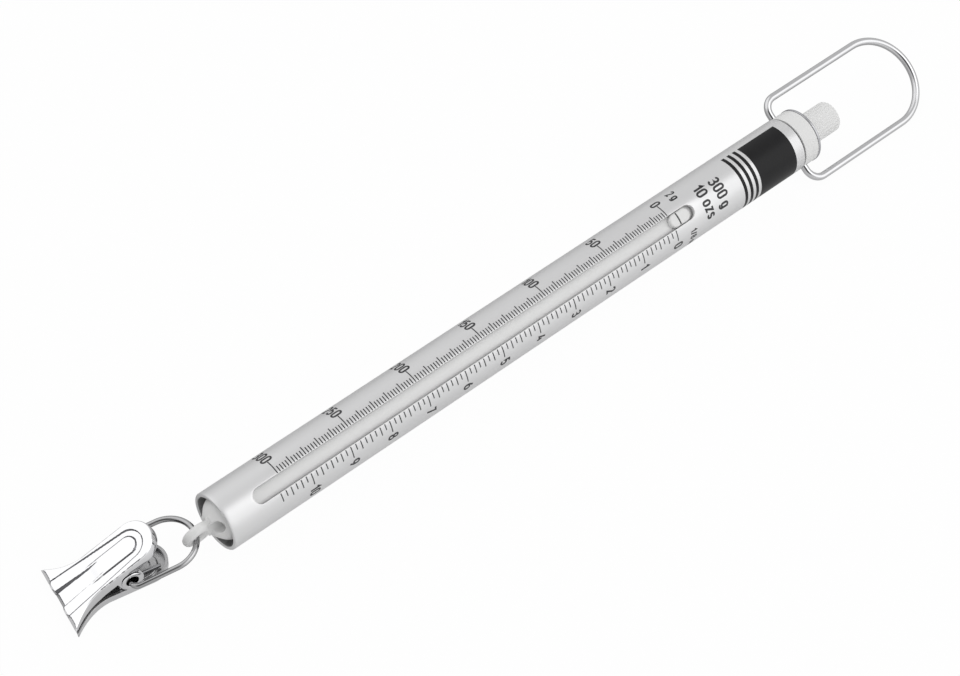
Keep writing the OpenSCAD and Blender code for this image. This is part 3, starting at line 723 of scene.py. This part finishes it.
def torus(centre_x, ring, section, around=64, sides=32):
    """A ring in the XZ plane: ring is the radius of its middle line and section its thickness."""
    rows = []
    for k in range(around):
        a = 2 * math.pi * k / around
        row = []
        for j in range(sides + 1):
            b = 2 * math.pi * j / sides
            r = ring + section / 2 * math.cos(b)
            row.append((centre_x + r * math.cos(a), section / 2 * math.sin(b), r * math.sin(a)))
        rows.append(row)
    return grid(rows, wrap=True)


def block(lo, hi):
    """A box between two opposite corners."""
    points = [(x, y, z) for x in (lo[0], hi[0]) for y in (lo[1], hi[1]) for z in (lo[2], hi[2])]
    return points, [(0, 1, 3, 2), (4, 6, 7, 5), (0, 4, 5, 1), (2, 3, 7, 6), (0, 2, 6, 4), (1, 5, 7, 3)]


neck = block((EYE_X + EYE_RING, -NECK_W / 2, -EYE_RING), (PLUG_FACE + 0.2, NECK_W / 2, EYE_RING))
cut(plug, neck, EYE, "UNION")
cut(plug, torus(EYE_X, EYE_RING, EYE_T), EYE, "UNION")

# The frame in which the plug's spring pin runs parallel to Z, on the floor of a pocket beside the axis
PIN_TURN = -50
PINS = EYE @ Matrix.Rotation(PIN_TURN * DEG, 4, "X")
POCKET_FLOOR, POCKET_R, POCKET_OFF = -110.6, 1.2, 2.5
pocket = [(NOSE_TIP - 1, 0), (NOSE_TIP - 1, POCKET_R), (POCKET_FLOOR, POCKET_R), (POCKET_FLOOR, 0)]
points, faces = revolve(pocket, 48)
cut(plug, ([(x, y - POCKET_OFF, z) for x, y, z in points], faces), PINS)

# Fine even faces and a little smoothing give the moulding its soft inner corners
VOXEL = 0.09
fine = plug.modifiers.new("fine", "REMESH")
fine.mode = "VOXEL"
fine.voxel_size = VOXEL * MM
soften = plug.modifiers.new("soften", "SMOOTH")
soften.factor = 0.5
soften.iterations = 4
apply_modifiers(plug)
shade(plug, white_plastic, 60)


# Linking loop

LOOP_R, LOOP_WIRE, LOOP_CORNER = 5.6, 1.15, 1.2
loop_ends = 0, LOOP_R - LOOP_CORNER - 0.2
loop_path = hairpin(0, loop_ends, LOOP_R, LOOP_CORNER, LOOP_LEN - LOOP_R, 8, 4)
build("linking_loop", [sweep(loop_path, LOOP_WIRE / 2, 24)], LOOP, loop_metal, "loop", ["wire_loop"])


# Clip

JAW, HANDLE_END, HINGE_H = -12.7, 8.5, 3.7
JAW_HALF, HANDLE_HALF, FLARE = 7.8, 4.25, 8
HANDLE_X = HANDLE_END - HANDLE_HALF
SHEET, FOLD = 0.6, 0.3
EAR_R, EAR_FOOT, EAR_HOLE = 2.35, 0.45, 1.66


def step(lo, hi, v):
    """A smooth rise from 0 at lo to 1 at hi."""
    t = min(1, max(0, (v - lo) / (hi - lo)))
    return t * t * (3 - 2 * t)


def leaf_half(x):
    """Half the leaf's width, which flares towards the jaw."""
    return HANDLE_HALF + (JAW_HALF - HANDLE_HALF) * max(0, 1 - (x - JAW) / FLARE) ** 2


def beside(x, y, centre, half):
    """Distance outside a U-shaped line with its bend at the handle. half gives its half width at x."""
    if x < centre:
        return abs(y) - half(x)
    return math.hypot(x - centre, y) - half(centre)


def lip_width(y):
    """How far the turned-in lip of the jaw reaches back at y: an arch on each wing and one in the middle."""
    if abs(y) > 3.6:
        return 0.75 * math.sqrt(max(0, 1 - ((abs(y) - 5.7) / 2.1) ** 2))
    return 0.65 * math.sqrt(max(0, 1 - (y / 2.7) ** 2))


# The pressed channel goes round a panel on the handle, and a flute runs down the jaw. The channel's inner
# wall is steep on one side of the leaf, and its outer wall on the other.
CHANNEL_X, CHANNEL_HALF, CHANNEL_FLARE, CHANNEL_DEPTH = 3.45, 2.95, 0.085, 0.3
PANEL_X, PANEL_HALF, PANEL_FADE = 3.2, 1.85, (-7.5, -1.4)
STEEP, SOFT = 0.10, 0.20
FLUTE_HALF, FLUTE_WALL, FLUTE_DEPTH, FLUTE_FADE = 1.4, 0.16, 0.28, (2.0, 6.0)
LIP_STEP, LIP_SLOPE = 0.18, 0.25


def relief(x, y):
    """Height of the pressed pattern over the leaf's flat face."""
    outer = beside(x, y, CHANNEL_X, lambda u: CHANNEL_HALF + CHANNEL_FLARE * (CHANNEL_X - u))
    inner = beside(x, y, PANEL_X, lambda u: PANEL_HALF)
    near, far = (STEEP, SOFT) if y < 0 else (SOFT, STEEP)
    panel = (1 - step(-near, near, inner)) * step(*PANEL_FADE, x)
    channel = (1 - panel) * (1 - step(-far, far, outer)) * (1 - 0.4 * step(4, 9, -x))
    down = max(0, -3.6 - x)
    flute_half, wall = FLUTE_HALF + 0.075 * down, FLUTE_WALL + 0.05 * down
    flute = step(*FLUTE_FADE, -x) * (1 - step(flute_half - wall, flute_half, abs(y)))
    depth = FLUTE_DEPTH + 0.035 * max(0, -4 - x)
    over = lip_width(y) - (x - JAW)
    lip = LIP_STEP * step(0, 0.16, over) + LIP_SLOPE * over if over > 0 else 0
    return -CHANNEL_DEPTH * channel - depth * flute - lip


def leaf_columns():
    """Distances of the sheet's columns from the jaw edge, close together at the lip and the kink."""
    fine = [0.09 * k for k in range(10)]
    middle = [0.81 + 0.3 * k for k in range(1, 24)]
    kink = [middle[-1] + 0.16 * k for k in range(1, 14)]
    rest = HANDLE_X - JAW - kink[-1]
    return fine + middle + kink + [kink[-1] + rest * k / 24 for k in range(1, 25)]


# The sheet's points from its middle line to the fold, the fine ones among them and how far they reach, and
# the stations round the handle's end
ACROSS, PATTERN_STEPS, PATTERN_HALF, ROUND_STEPS = 94, 54, 3.6, 32
CHAMFER = 0.05


def leaf_parts(skirt, ear_y, spread=0):
    """A pressed leaf in its own frame: outer face down at -HINGE_H, with skirts and two ears.

    skirt gives how far the folded edge comes up at x. spread widens one wing of the jaw.
    """
    columns = [JAW + c for c in leaf_columns()]
    stations = [((x, leaf_half(x)), (x, 0)) for x in columns]
    for k in range(1, ROUND_STEPS):
        a = (90 - 180 * k / ROUND_STEPS) * DEG
        edge = HANDLE_X + HANDLE_HALF * math.cos(a), HANDLE_HALF * math.sin(a)
        stations.append((edge, (HANDLE_X, 0)))
    for x in reversed(columns):
        more = spread * max(0, 1 - (x - JAW) / FLARE)
        stations.append(((x, -leaf_half(x) - more), (x, 0)))
    rows = []
    slope = math.tan(LEAF_ANGLE / 2 * DEG)
    for (px, py), (cx, cy) in stations:
        reach = math.hypot(px - cx, py - cy)
        ux, uy = (px - cx) / reach, (py - cy) / reach
        flat = [PATTERN_HALF * k / PATTERN_STEPS for k in range(PATTERN_STEPS)]
        beyond, rest = reach - FOLD - PATTERN_HALF, ACROSS - 1 - PATTERN_STEPS
        flat += [PATTERN_HALF + beyond * k / rest for k in range(rest + 1)]
        row = [(cx + ux * f, cy + uy * f, -HINGE_H - relief(cx + ux * f, cy + uy * f)) for f in flat]
        rim = row[-1][2]
        for q in (30, 60, 90):
            r = reach - FOLD + FOLD * math.sin(q * DEG)
            row.append((cx + ux * r, cy + uy * r, rim + FOLD * (1 - math.cos(q * DEG))))
        low = max(-HINGE_H + skirt(px), rim + FOLD + 0.06)
        for t, z in ((0, low - CHAMFER), (CHAMFER, low), (SHEET - CHAMFER, low), (SHEET, low - CHAMFER)):
            row.append((cx + ux * (reach - t), cy + uy * (reach - t), z))
        back = low - 0.06 if low < -HINGE_H + SHEET + 0.1 else -HINGE_H + SHEET
        row.append((cx + ux * (reach - SHEET), cy + uy * (reach - SHEET), min(back, slope * px - 0.1)))
        for f in reversed(flat):
            g = f * (reach - SHEET) / flat[-1]
            x, y = cx + ux * g, cy + uy * g
            inner = min(-HINGE_H + SHEET - min(0, max(-0.45, relief(x, y))), slope * x - 0.1)
            row.append((x, y, max(inner, -HINGE_H - relief(x, y) + 0.08)))
        rows.append(row)
    points, faces = grid(rows)
    n = len(rows[0])
    last = (len(rows) - 1) * n
    for base in (0, last):
        for k in range(ACROSS + 2):
            a, b = base + k, base + k + 1
            c, d = base + n - 1 - k, base + n - 2 - k
            if b < d:
                faces.append((a, b, d, c))
    return [(points, faces)] + [ear_part(side, ear_y) for side in (-1, 1)]


def ear_part(side, y_out):
    """An ear with a round top and a hole for the rivet, whose outer face is at y_out."""
    outline = [(EAR_R * math.cos(a * DEG), EAR_R * math.sin(a * DEG)) for a in range(0, 181, 6)]
    foot = -HINGE_H + EAR_FOOT
    outline += [(-EAR_R, foot * k / 8) for k in range(1, 9)]
    outline += [(-EAR_R + 2 * EAR_R * k / 10, foot) for k in range(1, 11)]
    outline += [(EAR_R, foot * (1 - k / 8)) for k in range(1, 9)]
    rows = []
    y_in = y_out - SHEET
    for x, z in outline:
        a = math.atan2(z, x)
        hx, hz = EAR_HOLE * math.cos(a), EAR_HOLE * math.sin(a)
        section = [
            (hx, y_in, hz), (hx, y_out, hz), (x * 0.98, y_out, z * 0.98), (x, y_out - 0.06, z),
            (x, y_in + 0.06, z), (x * 0.98, y_in, z * 0.98), (hx, y_in, hz),
        ]
        rows.append([(u, side * v, w) for u, v, w in section])
    return grid(rows, wrap=True)


def lower_skirt(x):
    """How far the lower leaf's folded edge comes up at x."""
    return min(1.6, max(0.55, 3.5 + 0.2215 * x))


def upper_skirt(x):
    """How far the upper leaf's folded edge comes up at x."""
    return min(2.1, max(0.55, 3.5 + 0.2215 * x))


# Material slots of a leaf: the polished chrome, and three darker copies of it as painted shade
POLISHED, INNER_SHADE, WALL_SHADE, LIP_SHADE = range(4)


def leaf_face(c, n):
    """The inner side is rougher, and darker as painted shade between the leaves. The walls of the pattern and
    the jaw's lip are darker than the flats as painted shade in the pressed creases and on the turned-in lip.
    """
    if c.x < HANDLE_X:
        inside = leaf_half(c.x) - abs(c.y)
    else:
        inside = HANDLE_HALF - math.hypot(c.x - HANDLE_X, c.y)
    if n.z > 0.2:
        return INNER_SHADE
    if c.x < JAW + max(lip_width(c.y) - 0.12, 0.32):
        return LIP_SHADE
    fading = -7 < c.x < -3.2 and 1.62 < abs(c.y) < 2.1
    if inside > 0.36 and c.z < -HINGE_H + 1.4 and -n.z < 0.95 and not fading:
        return WALL_SHADE
    return POLISHED


lower_parts = leaf_parts(lower_skirt, HANDLE_HALF - 0.7, 0.6)
lower = build("clip_lower_leaf", lower_parts, CLIP, clip_chrome, "clip", ["lower_leaf"], 30)
upper_parts = leaf_parts(upper_skirt, HANDLE_HALF - 0.015)
upper = build("clip_upper_leaf", upper_parts, UPPER, clip_chrome, "upper_leaf", ["upper_leaf"],
              30)
paint(lower, CLIP, [clip_inside_shade, clip_wall_shade, clip_lip_shade], leaf_face)
paint(upper, UPPER, [clip_inside_shade, clip_wall_shade, clip_lip_shade], leaf_face)

RIVET_HALF, RIVET_BORE, RIVET_R = HANDLE_HALF + 0.3, 1.25, 1.65
ROLL_T, ROLL_HALF, ROLL_MIDDLE = 0.15, 0.42, 1.67
rivet_line = [(-RIVET_HALF + 0.12, RIVET_BORE)]
for k in range(13):
    a = 180 * k / 12 * DEG
    rivet_line.append((-RIVET_HALF + ROLL_T - ROLL_T * math.sin(a), ROLL_MIDDLE - ROLL_HALF * math.cos(a)))
rivet_line.append((-RIVET_HALF + 0.25, RIVET_R))
rivet_line += [(-x, r) for x, r in reversed(rivet_line)]
rivet_line.append(rivet_line[0])
build("hollow_rivet", [across(revolve(rivet_line, 64))], CLIP, clip_chrome, "clip", ["hinge_rivet"])

COIL_R, COIL_WIRE, COIL_PITCH, COIL_STEPS = 2.25, 0.7, 1.12, 110
COIL_SWEEP = 3 * 360 + 180 - LEAF_ANGLE
LEG_FROM, LEG_TO, LEG_W, LEG_STEPS = 0.4, 6.4, 2.43, 8
coil_y = COIL_PITCH * COIL_SWEEP / 720
leg = [
    (LEG_FROM + (LEG_TO - LEG_FROM) * t, COIL_R + (LEG_W - COIL_R) * t)
    for t in np.linspace(0.08, 1, LEG_STEPS)
]
coil_path = [(u, -coil_y, -w) for u, w in reversed(leg)]
for k in range(COIL_STEPS + 1):
    a = (-90 - COIL_SWEEP * k / COIL_STEPS) * DEG
    coil_path.append((COIL_R * math.cos(a), coil_y * (2 * k / COIL_STEPS - 1), COIL_R * math.sin(a)))
cos_leaf, sin_leaf = math.cos(LEAF_ANGLE * DEG), math.sin(LEAF_ANGLE * DEG)
coil_path += [(u * cos_leaf - w * sin_leaf, coil_y, u * sin_leaf + w * cos_leaf) for u, w in leg]
coil = build("clip_coil_spring", [sweep(coil_path, COIL_WIRE / 2, 18, (0, 1, 0))], CLIP, clip_coil_shade, None,
             ["torsion_spring"])
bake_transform(coil)


# Measuring spring, hooked over the plug's pin and the carrier's pin. It is built at one length, though the
# real one stretches as the slider draws out.

MAIN_R, MAIN_WIRE, MAIN_TURNS, MAIN_STEPS = 3.6, 0.6, 84, 16
MAIN_LO, MAIN_COIL_LO, MAIN_COIL_HI, MAIN_HI = -109.7, -105.1, 8.6, 11.7
MAIN_LEAD_OFF = 2


def main_radius(t):
    """The spring's radius after t turns: it opens out from its lead and ends on the axis."""
    if t < 1:
        return MAIN_LEAD_OFF + (MAIN_R - MAIN_LEAD_OFF) * step(0, 1, t)
    return MAIN_R * step(0, 1, MAIN_TURNS - t)


main_path = [(MAIN_LO, -MAIN_LEAD_OFF, 0), (MAIN_LO + MAIN_WIRE, -MAIN_LEAD_OFF, 0)]
for k in range(MAIN_TURNS * MAIN_STEPS + 1):
    t = k / MAIN_STEPS
    x = MAIN_COIL_LO + (MAIN_COIL_HI - MAIN_COIL_LO) * t / MAIN_TURNS
    r, a = main_radius(t), 2 * math.pi * t
    main_path.append((x, -r * math.cos(a), r * math.sin(a)))
main_path += [(MAIN_HI - MAIN_WIRE, 0, 0), (MAIN_HI, 0, 0)]
main_spring = build("measuring_spring", [sweep(main_path, MAIN_WIRE / 2, 8)], PINS, coil_steel, None,
                    ["main_spring"])
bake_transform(main_spring)


# Carried-over nodes

for node, material in {
    "adjusting_screw": plain_steel, "retaining_clip": dark_steel, "thrust_washer": nylon,
    "knob_washer": plain_steel, "spring_carrier": brass, "carrier_pin": plain_steel,
    "spring_pin": plain_steel,
}.items():
    for slot in frame["nodes"][node].material_slots:
        slot.material = material


# Floor, light and camera

# Share of the ground that the camera sees as plain white, the rest being its lit surface
GROUND_PLAIN = 0.97
GROUND_HALF, GROUND_DROP = 1.5, 2e-5
# The ground as polished metal mirrors it is painted light and shade: a glow that is bright on the near side
# of the part and darker beyond
MIRROR_NEAR, MIRROR_FAR, MIRROR_BRIGHT, MIRROR_DARK = -0.035, 0.008, 0.92, 0.42


def floor_material():
    """White ground that keeps a soft shadow and shows as plain white where it is lit in full, and that glossy
    rays see as a glow of painted light, bright on the near side and darker beyond.
    """
    m = bpy.data.materials.new("white_ground")
    m.use_nodes = True
    n, links = m.node_tree.nodes, m.node_tree.links
    out = n["Material Output"]
    n.remove(n["Principled BSDF"])
    matt = n.new("ShaderNodeBsdfDiffuse")
    matt.inputs["Color"].default_value = (0.9, 0.9, 0.9, 1)
    plain = n.new("ShaderNodeEmission")
    plain.inputs["Color"].default_value = (1, 1, 1, 1)
    painted_reflection = n.new("ShaderNodeEmission")
    painted_reflection.inputs["Color"].default_value = (1, 1, 1, 1)
    place = n.new("ShaderNodeTexCoord")
    split = n.new("ShaderNodeSeparateXYZ")
    links.new(place.outputs["Object"], split.inputs[0])
    fall = n.new("ShaderNodeMapRange")
    fall.interpolation_type = "SMOOTHSTEP"
    fall.inputs["From Min"].default_value = MIRROR_NEAR
    fall.inputs["From Max"].default_value = MIRROR_FAR
    fall.inputs["To Min"].default_value = MIRROR_BRIGHT
    fall.inputs["To Max"].default_value = MIRROR_DARK
    links.new(split.outputs["Y"], fall.inputs["Value"])
    links.new(fall.outputs["Result"], painted_reflection.inputs["Strength"])
    path = n.new("ShaderNodeLightPath")
    share = n.new("ShaderNodeMath")
    share.operation = "MULTIPLY"
    share.inputs[1].default_value = GROUND_PLAIN
    links.new(path.outputs["Is Camera Ray"], share.inputs[0])
    seen = n.new("ShaderNodeMixShader")
    links.new(share.outputs[0], seen.inputs[0])
    links.new(matt.outputs[0], seen.inputs[1])
    links.new(plain.outputs[0], seen.inputs[2])
    whole = n.new("ShaderNodeMixShader")
    links.new(path.outputs["Is Glossy Ray"], whole.inputs[0])
    links.new(seen.outputs[0], whole.inputs[1])
    links.new(painted_reflection.outputs[0], whole.inputs[2])
    links.new(whole.outputs[0], out.inputs["Surface"])
    return m


ground = bpy.data.meshes.new("ground")
corners = (-1, -1), (1, -1), (1, 1), (-1, 1)
ground.from_pydata(
    [(GROUND_HALF * x, GROUND_HALF * y, -GROUND_DROP) for x, y in corners], [], [(0, 1, 2, 3)])
ground.materials.append(floor_material())
floor = bpy.data.objects.new("ground", ground)
bpy.context.scene.collection.objects.link(floor)


SURROUNDINGS = 0.66
# Lobes of light and shade round the part: direction, inner and outer half angle, and strength
LOBES = [
    ((0.446, -0.746, 0.494), 12, 38, 0.80),
    ((-0.273, 0.626, 0.729), 22, 44, 0.5),
    ((-0.446, -0.482, 0.755), 12, 34, -0.55),
]


def studio(world):
    """Soft surroundings with two brighter sides and a darker one, which the camera sees as plain white."""
    world.use_nodes = True
    n, links = world.node_tree.nodes, world.node_tree.links
    background = n["Background"]
    place = n.new("ShaderNodeTexCoord")
    total = None
    for direction, inner, outer, strength in LOBES:
        dot = n.new("ShaderNodeVectorMath")
        dot.operation = "DOT_PRODUCT"
        dot.inputs[1].default_value = Vector(direction).normalized()
        links.new(place.outputs["Generated"], dot.inputs[0])
        ramp = n.new("ShaderNodeMapRange")
        ramp.interpolation_type = "SMOOTHSTEP"
        ramp.inputs["From Min"].default_value = math.cos(outer * DEG)
        ramp.inputs["From Max"].default_value = math.cos(inner * DEG)
        ramp.inputs["To Min"].default_value = 0
        ramp.inputs["To Max"].default_value = strength
        links.new(dot.outputs["Value"], ramp.inputs["Value"])
        add = n.new("ShaderNodeMath")
        add.operation = "ADD"
        links.new(ramp.outputs["Result"], add.inputs[0])
        if total is None:
            add.inputs[1].default_value = SURROUNDINGS
        else:
            links.new(total, add.inputs[1])
        total = add.outputs[0]
    path = n.new("ShaderNodeLightPath")
    mix = n.new("ShaderNodeMix")
    links.new(path.outputs["Is Camera Ray"], mix.inputs[MIX_FACTOR])
    links.new(total, mix.inputs[FLOAT_A])
    mix.inputs[FLOAT_B].default_value = 1
    links.new(mix.outputs[FLOAT_RESULT], background.inputs["Strength"])
    background.inputs["Color"].default_value = (1, 1, 1, 1)


scene = bpy.context.scene
scene.world = bpy.data.worlds.new("studio")
studio(scene.world)

lamp_data = bpy.data.lights.new("soft_lamp", "AREA")
lamp_data.shape = "RECTANGLE"
lamp_data.size = lamp_data.size_y = 0.35
lamp_data.energy = 0.35
lamp = bpy.data.objects.new("soft_lamp", lamp_data)
lamp.location = (0.25, -0.30, 0.60)
lamp.rotation_euler = (-lamp.location).to_track_quat("-Z", "Y").to_euler()
scene.collection.objects.link(lamp)

# The camera as fitted to the photograph: its axes and place, a small roll, and the shift of the view's middle
# in pixels of the photograph's width
RIGHT = (0.74614, -0.66559, 0.01605)
UP = (0.49447, 0.57013, 0.65609)
BACK = (-0.44584, -0.48160, 0.75451)
CAMERA_PLACE = (-0.22254, -0.22781, 0.36062)
ROLL = 0.098
PHOTO_WIDTH = 960
camera_data = bpy.data.cameras.new("camera")
camera_data.lens = 90.23
camera_data.sensor_width = 36
camera_data.clip_start = 0.01
camera_data.shift_x, camera_data.shift_y = -0.4 / PHOTO_WIDTH, 0.6 / PHOTO_WIDTH
camera = bpy.data.objects.new("camera", camera_data)
axes = Matrix([*zip(RIGHT, UP, BACK, CAMERA_PLACE), (0, 0, 0, 1)])
camera.matrix_world = axes @ Matrix.Rotation(ROLL * DEG, 4, "Z")
scene.collection.objects.link(camera)
scene.camera = camera
scene.view_settings.view_transform = "Standard"
